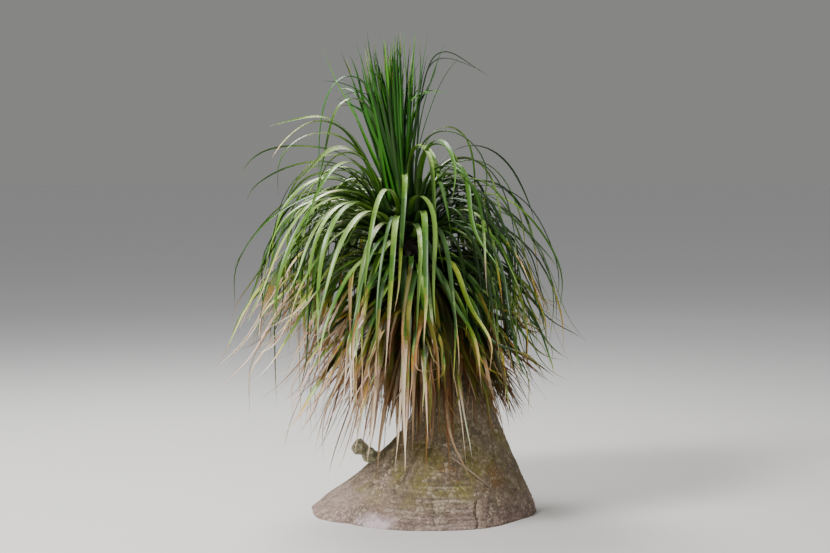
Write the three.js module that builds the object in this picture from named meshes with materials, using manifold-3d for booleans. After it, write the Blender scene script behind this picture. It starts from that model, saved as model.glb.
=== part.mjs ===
// A ponytail palm: a swollen conical foot, a short leaning trunk and one mop of arching strap leaves.
// Millimetres, +Z up. The origin is the middle of the flat cut at ground level, and -Y is the front.
// Leaves sit on the trunk in a golden-angle spiral, the oldest lowest. They are fused in groups by age
// and by side, each group round a wedge of old leaf bases that hugs the trunk.
import * as THREE from "three";
import { mergeVertices } from "three/addons/utils/BufferGeometryUtils.js";
import Module from "manifold-3d";

// The trunk: its height, and stations up it as [height, radius, lean along X, lean along Y].
const TRUNK_HEIGHT = 1265;
const TRUNK_STATIONS = [
  [0, 474, 0, 0],
  [55, 432, 26, 0],
  [130, 362, 60, 0],
  [230, 288, 90, -2],
  [310, 228, 112, -5],
  [400, 182, 124, -10],
  [520, 154, 118, -18],
  [680, 137, 70, -30],
  [850, 125, 4, -42],
  [1020, 114, -44, -52],
  [1170, 101, -72, -58],
  [TRUNK_HEIGHT, 84, -87, -63],
];
const TRUNK_SIDES = 36;
const TRUNK_RINGS = 18;
// Root lobes round the foot: [count, share of the radius, turn in degrees], fading with height.
const FOOT_LOBES = [
  [3, 0.022, 200],
  [5, 0.018, 35],
  [8, 0.01, 110],
];
const LOBE_FADE_HEIGHT = 300;

// The broken stub of an offshoot on the left shoulder of the foot.
const STUB_ROOT = new THREE.Vector3(-178, -40, 205);
const STUB_BEND = new THREE.Vector3(-236, -58, 238);
const STUB_TIP = new THREE.Vector3(-296, -70, 292);
const STUB_RADIUS = 32;

// The leaves, from the oldest, hanging low on the trunk, to the youngest, upright at its tip.
const LEAF_COUNT = 232;
const LOWEST_LEAF = 845;
const HIGHEST_LEAF = 1322;
const GOLDEN_ANGLE = Math.PI * (3 - Math.sqrt(5));
const LEAF_WIDTH = 40;
const LEAF_THICKNESS = 13;
const LEAF_STEPS = 6;
const HANGING_LEAF_STEPS = 5;
// How a leaf grows at a given age, from 0 the oldest to 1 the youngest:
// [age, launch angle, hanging angle, share of the length at the bend, length].
const LEAF_AGES = [
  [0.0, -62, -80, 0.2, 520],
  [0.13, -44, -66, 0.22, 580],
  [0.3, -18, -60, 0.24, 660],
  [0.45, 16, -62, 0.25, 740],
  [0.6, 48, -73, 0.26, 830],
  [0.74, 70, -84, 0.28, 910],
  [0.87, 84, -88, 0.34, 900],
  [0.915, 86, -70, 0.62, 800],
];
// The same for the upright tuft of the youngest leaves.
const SPEAR_AGES = [
  [0.915, 78, 50, 0.72, 670],
  [0.94, 81, 72, 0.8, 680],
  [1.0, 88, 84, 0.9, 660],
];
const BEND_WIDTH = 0.35;
const LAUNCH_SPREAD = 10;
const HANG_SPREAD = 12;
// The head leans to one side: how much the youngest leaves follow it, and the share of that in the oldest.
const HEAD_LEAN = new THREE.Vector3(-0.17, -0.05, 0);
const OLDEST_LEAN = 0.4;

// Groups of leaves by age: [name, age that they end at, number of groups round the trunk].
const TIERS = [
  ["dead_leaves", 0.13, 8],
  ["lower_leaves", 0.34, 10],
  ["middle_leaves", 0.57, 12],
  ["upper_leaves", 0.79, 12],
  ["young_leaves", 0.915, 8],
  ["spear_leaves", 1.01, 1],
];
const HEART_RADIUS = 72;
const BASE_THICKNESS = 30;
const BASE_BELOW = 24;
const CLEARANCE = 0.4;
const LEAF_GAP = 1.5;
const TRIES = 14;
const LIFT_PER_TRY = 2.5;
const SEED = 20;

const wasm = await Module();
wasm.setup();

// Seeded numbers from 0 to 1, the same in every run.
function seeded(seed) {
  let state = seed >>> 0;
  return () => {
    state = (state + 0x6d2b79f5) >>> 0;
    let mixed = Math.imul(state ^ (state >>> 15), 1 | state);
    mixed = (mixed + Math.imul(mixed ^ (mixed >>> 7), 61 | mixed)) ^ mixed;
    return ((mixed ^ (mixed >>> 14)) >>> 0) / 4294967296;
  };
}

const radians = (degrees) => (degrees * Math.PI) / 180;

// A row of a table whose first column rises, smoothly blended at a value of that column.
function rowAt(table, value) {
  const last = table.length - 1;
  let i = 0;
  while (i < last - 1 && value > table[i + 1][0]) i++;
  const span = table[i + 1][0] - table[i][0];
  const t = THREE.MathUtils.clamp((value - table[i][0]) / span, 0, 1);
  const before = table[Math.max(i - 1, 0)];
  const after = table[Math.min(i + 2, last)];
  return table[i].map((from, column) => {
    const to = table[i + 1][column];
    const slopeIn = ((to - before[column]) / (table[i + 1][0] - before[0])) * span;
    const slopeOut = ((after[column] - from) / (after[0] - table[i][0])) * span;
    const t2 = t * t;
    const t3 = t2 * t;
    return (2 * t3 - 3 * t2 + 1) * from + (t3 - 2 * t2 + t) * slopeIn + (3 * t2 - 2 * t3) * to + (t3 - t2) * slopeOut;
  });
}

// A closed geometry as a solid that can be joined and cut.
function solidOf(geometry) {
  const bare = geometry.index ? geometry.toNonIndexed() : geometry;
  const positions = new THREE.BufferGeometry().setAttribute("position", bare.getAttribute("position"));
  const merged = mergeVertices(positions, 1e-3);
  return new wasm.Manifold(
    new wasm.Mesh({
      numProp: 3,
      vertProperties: merged.attributes.position.array,
      triVerts: new Uint32Array(merged.index.array),
    }),
  );
}

function geometryOf(solid) {
  const mesh = solid.getMesh();
  const positions = new Float32Array(mesh.numVert * 3);
  for (let i = 0; i < mesh.numVert; i++) {
    positions.set(mesh.vertProperties.subarray(i * mesh.numProp, i * mesh.numProp + 3), i * 3);
  }
  const geometry = new THREE.BufferGeometry();
  geometry.setAttribute("position", new THREE.BufferAttribute(positions, 3));
  geometry.setIndex(new THREE.BufferAttribute(new Uint32Array(mesh.triVerts), 1));
  geometry.computeVertexNormals();
  return geometry;
}

// The trunk's middle line and its radius at a height.
function trunkAt(height) {
  const [, radius, x, y] = rowAt(TRUNK_STATIONS, height);
  return { radius, middle: new THREE.Vector3(x, y, height) };
}

// The trunk with its foot, from a lathed profile that is pushed out by the lobes and along the lean.
function makeTrunk(extra) {
  const profile = [new THREE.Vector2(0, 0)];
  for (let ring = 0; ring <= TRUNK_RINGS; ring++) {
    const height = TRUNK_HEIGHT * (ring / TRUNK_RINGS) ** 1.3;
    profile.push(new THREE.Vector2(trunkAt(height).radius + extra, height));
  }
  profile.push(new THREE.Vector2(0, TRUNK_HEIGHT + extra));
  const geometry = new THREE.LatheGeometry(profile, TRUNK_SIDES);
  geometry.rotateX(Math.PI / 2);
  const place = geometry.attributes.position;
  for (let i = 0; i < place.count; i++) {
    const height = place.getZ(i);
    const turn = Math.atan2(place.getY(i), place.getX(i));
    let swell = 0;
    for (const [count, share, shift] of FOOT_LOBES) {
      swell += share * Math.cos(count * turn + radians(shift));
    }
    const grown = 1 + swell * Math.exp(-((height / LOBE_FADE_HEIGHT) ** 2));
    const { middle } = trunkAt(Math.min(height, TRUNK_HEIGHT));
    place.setXY(i, place.getX(i) * grown + middle.x, place.getY(i) * grown + middle.y);
  }
  return solidOf(geometry);
}

// The stub: a tapering limb of eight sides, cut clear of the trunk.
function makeStub(trunkGrown) {
  const line = new THREE.QuadraticBezierCurve3(STUB_ROOT, STUB_BEND, STUB_TIP);
  const length = line.getLength();
  const geometry = new THREE.CylinderGeometry(STUB_RADIUS * 0.55, STUB_RADIUS, length, 8, 4);
  const place = geometry.attributes.position;
  const up = new THREE.Vector3(0, 0, 1);
  for (let i = 0; i < place.count; i++) {
    const share = place.getY(i) / length + 0.5;
    const along = line.getTangent(share);
    const side = new THREE.Vector3().crossVectors(along, up).normalize();
    const over = new THREE.Vector3().crossVectors(side, along);
    const point = line.getPoint(share);
    point.addScaledVector(side, place.getX(i)).addScaledVector(over, place.getZ(i));
    place.setXYZ(i, point.x, point.y, point.z);
  }
  return largestPiece(solidOf(geometry).subtract(trunkGrown));
}

// The points that a leaf follows: it leaves its root at the launch angle, and bends over under its weight.
function leafLine(leaf) {
  const points = [leaf.root.clone()];
  const point = leaf.root.clone();
  const slices = 36;
  for (let i = 0; i < slices; i++) {
    const share = (i + 0.5) / slices;
    const bent = 1 / (1 + Math.exp(-(share - leaf.bend) / (leaf.bendWidth / 2.2)));
    const angle = THREE.MathUtils.lerp(leaf.launch, leaf.hang, bent);
    const opened = THREE.MathUtils.smoothstep(share, 0, 0.3);
    const turn = THREE.MathUtils.lerp(leaf.rootTurn, leaf.turn, opened) + leaf.sway * share;
    const step = new THREE.Vector3(Math.cos(angle) * Math.cos(turn), Math.cos(angle) * Math.sin(turn), Math.sin(angle));
    step.addScaledVector(HEAD_LEAN, leaf.lean * (1 - 0.6 * share)).normalize();
    point.addScaledVector(step, leaf.length / slices);
    points.push(point.clone());
  }
  return new THREE.CatmullRomCurve3(points);
}

// Half a leaf's width along it: narrow at the root, widest at a third, drawn out to a point.
function leafHalfWidth(share) {
  const opening = THREE.MathUtils.lerp(0.62, 1, THREE.MathUtils.smoothstep(share, 0, 0.3));
  return 0.5 * LEAF_WIDTH * opening * (1 - share ** 2.6);
}

// The share of the leaf's length that a step is at: the steps crowd round the bend.
function stepShare(step, bend) {
  if (step < 0.5) return bend * (2 * step) ** 0.8;
  return bend + (1 - bend) * (2 * step - 1) ** 1.7;
}

// One leaf: a three-sided cone drawn along the leaf's line, with its flat face up and its keel down.
function makeLeaf(leaf, extra) {
  const geometry = new THREE.ConeGeometry(1, 1, 3, leaf.steps);
  const place = geometry.attributes.position;
  const line = leafLine(leaf);
  const across = Math.sqrt(3) / 2;
  for (let i = 0; i < place.count; i++) {
    const step = place.getY(i) + 0.5;
    const ring = Math.max(1 - step, 1e-6);
    const share = stepShare(step, Math.min(leaf.bend, 0.5));
    const along = line.getTangent(share);
    const side = new THREE.Vector3(-Math.sin(leaf.turn), Math.cos(leaf.turn), 0);
    side.applyAxisAngle(along, leaf.twist * share);
    side.addScaledVector(along, -side.dot(along)).normalize();
    const under = new THREE.Vector3().crossVectors(side, along).normalize();
    const tip = Math.min(1, (1 - share) * 3);
    const width = (leafHalfWidth(share) * leaf.scale + extra) * (place.getX(i) / ring / across);
    const keel = (place.getZ(i) / ring + 0.5) / 1.5;
    const depth = (LEAF_THICKNESS * Math.sqrt(tip) + 2 * extra) * keel - extra;
    const point = line.getPoint(share);
    if (step < 1) point.addScaledVector(side, width).addScaledVector(under, depth);
    place.setXYZ(i, point.x, point.y, point.z);
  }
  return solidOf(geometry);
}

function largestPiece(solid) {
  return solid.decompose().reduce((best, piece) => (piece.volume() > best.volume() ? piece : best));
}

function boxesMeet(a, b) {
  return [0, 1, 2].every((k) => a.min[k] < b.max[k] && b.min[k] < a.max[k]);
}

// A wedge of old leaf bases round the trunk, between two heights and two turns about its middle.
function makeBase(low, high, from, to) {
  const inner = trunkAt(high).radius * 0.5;
  const outer = trunkAt(low).radius + BASE_THICKNESS;
  const shrink = CLEARANCE / outer;
  const outline = new THREE.Shape();
  outline.absarc(0, 0, outer, from + shrink, to - shrink, false);
  outline.lineTo(inner * Math.cos(to - shrink * 3), inner * Math.sin(to - shrink * 3));
  outline.lineTo(inner * Math.cos(from + shrink * 3), inner * Math.sin(from + shrink * 3));
  const geometry = new THREE.ExtrudeGeometry(outline, { depth: high - low, bevelEnabled: false, curveSegments: 2 });
  const place = geometry.attributes.position;
  for (let i = 0; i < place.count; i++) {
    const { middle } = trunkAt(low + place.getZ(i));
    place.setXYZ(i, place.getX(i) + middle.x, place.getY(i) + middle.y, middle.z);
  }
  return solidOf(geometry);
}

// The heart that the upright leaves grow from, standing on the tip of the trunk.
function makeHeart() {
  const { middle } = trunkAt(TRUNK_HEIGHT);
  const profile = [
    new THREE.Vector2(0, 0),
    new THREE.Vector2(HEART_RADIUS, 0),
    new THREE.Vector2(HEART_RADIUS, 42),
    new THREE.Vector2(HEART_RADIUS * 0.5, 96),
    new THREE.Vector2(0, 110),
  ];
  const geometry = new THREE.LatheGeometry(profile, 10);
  geometry.rotateX(Math.PI / 2);
  geometry.translate(middle.x, middle.y, TRUNK_HEIGHT + CLEARANCE);
  return solidOf(geometry);
}

const rootHeight = (age) => THREE.MathUtils.lerp(LOWEST_LEAF, HIGHEST_LEAF, age);

// The groups, each with its wedge and the space round the trunk that it keeps to.
function makeGroups(trunkGrown) {
  const groups = [];
  let startAge = 0;
  TIERS.forEach(([name, endAge, count], tier) => {
    const low = rootHeight(startAge) - BASE_BELOW;
    const high = rootHeight(endAge) - BASE_BELOW - CLEARANCE;
    for (let i = 0; i < count; i++) {
      const from = (2 * Math.PI * (i + 0.37 * tier)) / count;
      const to = from + (2 * Math.PI) / count;
      const upright = tier === TIERS.length - 1;
      const base = upright ? makeHeart() : makeBase(low, high, from, to).subtract(trunkGrown);
      const label = count > 1 ? name + "_" + String(i + 1).padStart(2, "0") : name;
      groups.push({ name: label, tier, startAge, from, to, low, high, upright, solids: [base] });
    }
    startAge = endAge;
  });
  return groups;
}

// The group that a leaf belongs to, by its age and by the turn of its root.
function groupFor(groups, age, turn) {
  const tier = TIERS.findIndex(([, endAge]) => age < endAge);
  const full = 2 * Math.PI;
  return groups.find((group) => {
    const past = (((turn - group.from) % full) + full) % full;
    return group.tier === tier && past <= group.to - group.from + 1e-9;
  });
}

// One leaf of the spiral, with its own small differences. Each new try lifts it a little further out.
function growLeaf(group, index, attempt) {
  const age = index / (LEAF_COUNT - 1);
  const around = index * GOLDEN_ANGLE;
  const random = seeded(SEED + 100 * index + attempt);
  const spread = (amount) => (2 * random() - 1) * amount;
  const [, launch, hang, bend, length] = rowAt(group.upright ? SPEAR_AGES : LEAF_AGES, age);
  const half = (group.to - group.from) / 2;
  const centre = group.from + half;
  const past = around - centre - 2 * Math.PI * Math.round((around - centre) / (2 * Math.PI));
  const rootTurn = group.upright ? around : centre + past * 0.6;
  const low = group.low + 15;
  const high = group.high - 30;
  const height = group.upright ? TRUNK_HEIGHT + 24 : THREE.MathUtils.clamp(rootHeight(age) + spread(6), low, high);
  const { radius, middle } = trunkAt(Math.min(height, TRUNK_HEIGHT));
  const reach = group.upright ? HEART_RADIUS * 0.82 * Math.sqrt((1 - age) / (1 - group.startAge)) : radius + 11;
  const lift = radians(LIFT_PER_TRY) * attempt * (1 - age);
  return {
    root: new THREE.Vector3(Math.cos(rootTurn) * reach + middle.x, Math.sin(rootTurn) * reach + middle.y, height),
    launch: radians(launch + spread(LAUNCH_SPREAD)) + 1.6 * lift,
    hang: radians(hang + spread(HANG_SPREAD)) + lift,
    bend: bend * (1 + spread(0.13)),
    bendWidth: BEND_WIDTH * (1 + spread(0.2)),
    length: length * (1 + spread(0.09)),
    turn: group.upright ? around : centre + past * 0.86 + spread(0.05),
    rootTurn,
    sway: spread(0.16),
    twist: spread(0.7),
    scale: group.upright ? 0.62 : 1,
    steps: age < 0.3 ? HANGING_LEAF_STEPS : LEAF_STEPS,
    lean: THREE.MathUtils.lerp(OLDEST_LEAN, 1, THREE.MathUtils.smoothstep(age, 0.62, 1)),
  };
}

// True if a leaf, with some air round it, meets no other group and no more of the trunk than its own base.
function isClear(fat, group, groups, trunkGrown) {
  const box = fat.boundingBox();
  const meets = (solid) => boxesMeet(box, solid.boundingBox()) && !fat.intersect(solid).isEmpty();
  if (box.min[2] < 20) return false;
  if (meets(trunkGrown) && fat.intersect(trunkGrown).boundingBox().min[2] < group.low - 40) return false;
  return !groups.some((other) => other !== group && other.solids.some(meets));
}

// Grows every leaf of the spiral into its group. One that would touch something is tried again, then skipped.
function growLeaves(groups, trunkGrown, stub) {
  const limbs = { solids: [stub] };
  for (let index = 0; index < LEAF_COUNT; index++) {
    const group = groupFor(groups, index / (LEAF_COUNT - 1), index * GOLDEN_ANGLE);
    for (let attempt = 0; attempt < TRIES; attempt++) {
      const leaf = growLeaf(group, index, attempt);
      if (isClear(makeLeaf(leaf, LEAF_GAP), group, [...groups, limbs], trunkGrown)) {
        group.solids.push(makeLeaf(leaf, 0));
        break;
      }
    }
  }
}

function meshOf(name, solid, colour, roughness) {
  const material = new THREE.MeshStandardMaterial({ color: colour, roughness, metalness: 0 });
  const mesh = new THREE.Mesh(geometryOf(solid), material);
  mesh.name = name;
  return mesh;
}

const LEAF_COLOURS = [0xa08a68, 0x8f8a48, 0x5f7a3a, 0x4c7238, 0x46702f, 0x2c5a26];
const BARK_COLOUR = 0x8d8373;

const plant = new THREE.Group();
const trunk = makeTrunk(0);
const trunkGrown = makeTrunk(CLEARANCE);
const stub = makeStub(trunkGrown);
plant.add(meshOf("trunk", trunk, BARK_COLOUR, 0.95));
plant.add(meshOf("side_stub", stub, BARK_COLOUR, 0.95));

const groups = makeGroups(trunkGrown);
growLeaves(groups, trunkGrown, stub);
for (const group of groups) {
  const joined = wasm.Manifold.union(group.solids).subtract(trunkGrown);
  plant.add(meshOf(group.name, largestPiece(joined), LEAF_COLOURS[group.tier], 0.6));
}

export default plant;
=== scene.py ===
"""A ponytail palm: fissured swollen foot, leaning trunk and a mop of fine arching leaves, in metres.

Every leaf grows by the rule that shaped the solids: a golden-angle spiral, oldest lowest, and a line that
leaves the trunk at a launch angle and bends over. Finer leaves are dealt out round each of those lines. The
single leaves that the eye picks out have rows of their own, and one dry leaf lies on the foot.
"""
import math

import bpy
import numpy as np
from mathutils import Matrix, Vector, noise


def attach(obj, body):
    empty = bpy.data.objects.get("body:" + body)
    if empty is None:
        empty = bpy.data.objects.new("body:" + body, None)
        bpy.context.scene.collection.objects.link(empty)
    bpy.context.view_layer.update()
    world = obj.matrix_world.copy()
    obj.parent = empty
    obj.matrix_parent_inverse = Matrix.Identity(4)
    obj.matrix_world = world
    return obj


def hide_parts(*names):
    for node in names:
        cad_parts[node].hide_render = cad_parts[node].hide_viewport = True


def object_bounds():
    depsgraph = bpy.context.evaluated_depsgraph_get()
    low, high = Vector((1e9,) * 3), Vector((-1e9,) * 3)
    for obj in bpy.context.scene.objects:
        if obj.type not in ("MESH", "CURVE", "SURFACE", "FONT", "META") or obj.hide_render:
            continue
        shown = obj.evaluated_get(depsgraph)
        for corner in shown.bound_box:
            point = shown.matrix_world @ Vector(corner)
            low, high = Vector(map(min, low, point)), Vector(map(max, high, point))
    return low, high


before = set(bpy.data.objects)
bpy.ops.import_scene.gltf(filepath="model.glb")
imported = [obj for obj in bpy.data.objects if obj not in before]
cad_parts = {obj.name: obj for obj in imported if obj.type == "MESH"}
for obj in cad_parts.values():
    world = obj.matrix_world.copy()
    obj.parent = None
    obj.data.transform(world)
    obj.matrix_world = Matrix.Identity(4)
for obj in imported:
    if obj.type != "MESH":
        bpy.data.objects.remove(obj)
cad_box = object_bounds()

# The trunk: stations up it as (height, radius, lean along X, lean along Y), and the lobes of its foot as
# (how many, share of the radius, turn in degrees).
TRUNK_HEIGHT = 1.265
TRUNK_STATIONS = (
    (0.0, 0.474, 0.0, 0.0),
    (0.055, 0.432, 0.026, 0.0),
    (0.13, 0.362, 0.06, 0.0),
    (0.23, 0.288, 0.09, -0.002),
    (0.31, 0.228, 0.112, -0.005),
    (0.4, 0.182, 0.124, -0.01),
    (0.52, 0.154, 0.118, -0.018),
    (0.68, 0.137, 0.07, -0.03),
    (0.85, 0.125, 0.004, -0.042),
    (1.02, 0.114, -0.044, -0.052),
    (1.17, 0.101, -0.072, -0.058),
    (TRUNK_HEIGHT, 0.084, -0.087, -0.063),
)
FOOT_LOBES = ((3, 0.022, 200), (5, 0.018, 35), (8, 0.01, 110))
LOBE_FADE_HEIGHT = 0.3
TRUNK_COLUMNS = 450
TRUNK_ROWS = 212
# The relief of the bark: how far each kind of it stands out, or how deep it goes.
SWELLING = 0.007
LUMPS = 0.0035
FISSURES = 0.004
PEBBLES = 0.0014
FOLDS = 0.0007
LEAF_SCARS = 0.002
# The one deep crack, which runs up the foot low on the right of the front.
CRACK_X = 0.213
CRACK_TOP = 0.115
CRACK_DEPTH = 0.012
CRACK_HALF_WIDTH = 0.0065
# Low on the left of the front, a toe that stands out and the hollow beside it, each as
# (x, half width, height, how far out).
TOE = (-0.2, 0.085, 0.04, 0.009)
HOLLOW = (-0.315, 0.026, 0.03, -0.014)
# The orange-brown stains on the foot: the middle of each and how far it spreads.
STAINS = (((0.3, -0.24, 0.17), 0.1), ((0.1, -0.3, 0.2), 0.09), ((0.24, -0.3, 0.12), 0.06))
PEBBLE_SCALE = 54.0
# The tones of the bark, the stub and the floor as they look, from 0 to 255.
TONES = {
    "grey_brown": (108, 92, 74),
    "beige": (146, 125, 102),
    "pale_mottle": (172, 152, 124),
    "dark_mottle": (80, 68, 54),
    "near_ground": (156, 128, 122),
    # Painted light for the top of the foot, under the crown's shadow.
    "left_side": (186, 162, 150),
    "painted_light_shoulder": (164, 148, 116),
    "moss": (124, 115, 40),
    "stain": (152, 102, 50),
    "pale_pebble": (192, 178, 152),
    "dark_pebble": (98, 84, 70),
    "pebble_gap": (72, 62, 50),
    "dark_band": (88, 76, 68),
    "pale_band": (184, 172, 158),
    "toe": (214, 196, 200),
    "fissure": (60, 50, 42),
    "speck": (206, 198, 176),
    "grain": (46, 38, 30),
    # Painted shade for the trunk under the crown.
    "painted_shade_under_leaves": (34, 28, 20),
    "leaf_base": (66, 80, 34),
    "stub_dark": (122, 116, 88),
    "stub_pale": (178, 174, 142),
    "stub_dark_fleck": (84, 74, 56),
    "stub_bright": (206, 202, 180),
    "floor": (208, 206, 202),
    "far_floor": (252, 253, 255),
}

# The broken stub of an offshoot: its root, bend and tip, and its radius along it as (share, radius).
STUB_LINE = ((-0.178, -0.04, 0.205), (-0.236, -0.058, 0.238), (-0.296, -0.07, 0.292))
STUB_RADII = ((0, 0.034), (0.3, 0.03), (0.5, 0.033), (0.62, 0.024), (0.8, 0.031), (0.93, 0.03), (1, 0.02))
STUB_LUMPS = 0.009
STUB_GRAIN = 0.003
STUB_SIDES = 36
STUB_ROWS = 44

# The camera, and the soft lights as (name, place, what it points at, size, power).
CAMERA_PLACE = (0, -8.3, 1.56)
CAMERA_AIM = (-0.04, 0, 0.985)
CAMERA_LENS = 86
LIGHTS = (
    ("key", (-3.4, -3.2, 5.0), (0, 0, 1), 1.2, 640),
    ("top", (-1.4, 2.2, 4.9), (0, 0, 1.2), 2.0, 320),
    ("fill", (4.2, -3.6, 2.4), (0, 0, 0.6), 3.0, 56),
)
SKY = (240, 240, 237)
SKY_STRENGTH = 0.28
FLOOR_REACH = 60

# The leaves: how one grows at a given age, from 0 the oldest to 1 the youngest, as
# (age, launch angle, hanging angle, share of the length at the bend, length).
LEAF_COUNT = 232
LOWEST_LEAF = 0.845
HIGHEST_LEAF = 1.322
GOLDEN_ANGLE = math.pi * (3 - math.sqrt(5))
LEAF_AGES = (
    (0.0, -62, -80, 0.2, 0.52),
    (0.13, -44, -66, 0.22, 0.58),
    (0.3, -18, -60, 0.24, 0.66),
    (0.45, 16, -62, 0.25, 0.74),
    (0.6, 48, -73, 0.26, 0.83),
    (0.74, 70, -84, 0.28, 0.91),
    (0.87, 84, -88, 0.34, 0.9),
    (0.915, 86, -70, 0.62, 0.8),
)
# The same for the upright tuft of the youngest leaves.
SPEAR_AGES = (
    (0.915, 78, 50, 0.72, 0.67),
    (0.94, 81, 72, 0.8, 0.68),
    (1.0, 88, 84, 0.9, 0.66),
)
BEND_WIDTH = 0.35
# How far the leaves of the spiral stray from that rule, with launch and hang in degrees.
SPREADS = {"height": 0.006, "launch": 10, "hang": 12, "bend": 0.13, "bend_width": 0.2}
SPREADS |= {"length": 0.09, "turn": 0.05, "sway": 0.16, "twist": 0.7}
# How far a finer leaf strays from the leaf that it stands beside, likewise.
STRAYS = {"height": 0.018, "around": 0.085, "turn": 0.04, "launch": 6, "hang": 7, "sway": 0.14, "twist": 0.8}
# What is left of a leaf's turn from the middle of its group, at its root and for the leaf as a whole.
ROOT_PULL = 0.6
LINE_PULL = 0.86
# The head leans to one side: how much the youngest leaves follow it, and the share of that in the oldest.
HEAD_LEAN = np.array((-0.17, -0.05, 0.0))
OLDEST_LEAN = 0.4
# Groups of leaves by age: (name, age that they end at, groups round the trunk, fine leaves for each leaf).
TIERS = (
    ("dead_leaves", 0.13, 8, 10),
    ("lower_leaves", 0.34, 10, 5),
    ("middle_leaves", 0.57, 12, 4),
    ("upper_leaves", 0.79, 12, 4),
    ("young_leaves", 0.915, 8, 4),
    ("spear_leaves", 1.01, 1, 7),
)
# Each tier's groups start this share of a group further round than the tier's below.
TIER_TURN = 0.37
# The crown is thinner over the middle of the front: how far to each side, from what age, and how many fine
# leaves less.
THIN_TURN = -math.pi / 2
THIN_REACH = 0.75
THIN_FROM = 0.34
THINNED = 3
# Where some of the finer leaves hang down longer than the rest, as (middle of the side in degrees, how far
# to each side of it, least and greatest age, share of the leaves, least and most times as long).
LONGER_SIDES = (
    (-146, 28, -0.1, 0.13, 0.45, 1.0, 1.2),
    (-90, 60, -0.1, 0.1, 0.26, 1.05, 1.3),
    (-90, 43, 0.1, 0.34, 0.26, 1.14, 1.34),
    (-165, 34, 0.13, 0.8, 0.42, 1.08, 1.34),
)
LONGER_HANG = 16
LONGER_SCALE = 1.25
# How much less, in degrees, a finer leaf may hang than the leaf that it stands beside, and at what ages.
SPLAY = 26
SPLAYED = (0.1, 0.5)
# The ages between which tips are messiest, the share of leaves with a kink, how far it folds and where.
MESSY = (0.2, 0.55)
KINKED = 0.12
KINK = (-50, -20)
KINK_PLACE = (0.35, 0.75)
# The share of the tuft's leaves that bend over at their tips.
BENT_SPEARS = 0.14
# Single leaves that the eye picks out, as (degrees to the right of the front, the same at the root, root
# height, launch angle, hanging angle, share of the length at the bend, length, share where it dries, width).
# The first nine stand out over the front and hang down before the foot. The last six arch beside the tuft.
SINGLE_LEAVES = (
    (16, -8, 1.08, 36, -82, 0.1, 0.99, 0.49, 1.25),
    (-15, -22, 1.0, 4, -74, 0.1, 0.86, 0.52, 0.9),
    (-3, -8, 0.97, -6, -76, 0.1, 0.82, 0.5, 1.0),
    (3, -4, 0.98, 0, -77, 0.1, 0.84, 0.6, 0.9),
    (13, 10, 1.02, 12, -72, 0.1, 0.8, 0.62, 1.0),
    (33, 24, 0.99, 6, -70, 0.1, 0.84, 0.56, 0.9),
    (37, 30, 0.96, 0, -72, 0.1, 0.78, 0.66, 0.8),
    (22, 14, 1.2, 42, -62, 0.14, 0.66, 0.86, 1.1),
    (-30, -24, 1.14, 34, -70, 0.1, 0.72, 0.6, 1.15),
    (38, 24, 1.28, 84, -78, 0.35, 0.86, 1.1, 1.1),
    (58, 46, 1.28, 79, -66, 0.38, 0.8, 1.1, 0.9),
    (-62, -50, 1.29, 92, -84, 0.53, 1.08, 1.1, 1.3),
    (-56, -62, 1.27, 91, -86, 0.51, 1.0, 1.1, 1.3),
    (80, 10, 1.3, 70, -35, 0.74, 0.88, 1.1, 1.2),
    (72, 25, 1.3, 74, -20, 0.72, 0.84, 1.1, 1.2),
)
SINGLE_BEND_WIDTH = 0.2
# A dry leaf that lies on the front of the foot: the (x, height) of its two ends, and its gap to the bark.
FALLEN_LEAF = ((0.1, 0.268), (0.3, 0.115))
FALLEN_LEAF_OFF = 0.008
# The radius that the tuft springs from, how far below its first root a group starts, and the gap above it.
HEART_RADIUS = 0.072
BASE_BELOW = 0.024
CLEARANCE = 0.0004
# How often a leaf is tried until it clears the trunk, and how many degrees it is lifted each time.
SEED = 20
TRIES = 14
LIFT_PER_TRY = 2.5

# The space that every leaf keeps within: the solids' box and a little more.
CROWN_MARGIN = 0.02
CROWN_LOW = np.array(cad_box[0]) - CROWN_MARGIN
CROWN_HIGH = np.array(cad_box[1]) + CROWN_MARGIN

# One fine leaf: how much narrower it is where it is dry, how unevenly its two halves dry, and its steps.
FINE_HALF_WIDTH = 0.0115
FINE_THICKNESS = 0.0012
DRY_SHRINK = 0.25
UNEVEN_DRYING = 0.025
FINE_STEPS = 34
LINE_SLICES = 48
# How far a leaf keeps from the trunk, as a gap and a share of its radius, and from the ground. Then the
# steepest that it hangs, in degrees.
FOOT_AIR = 0.012
TRUNK_AIR = 1.04
GROUND_AIR = 0.02
STEEPEST = -94

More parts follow.
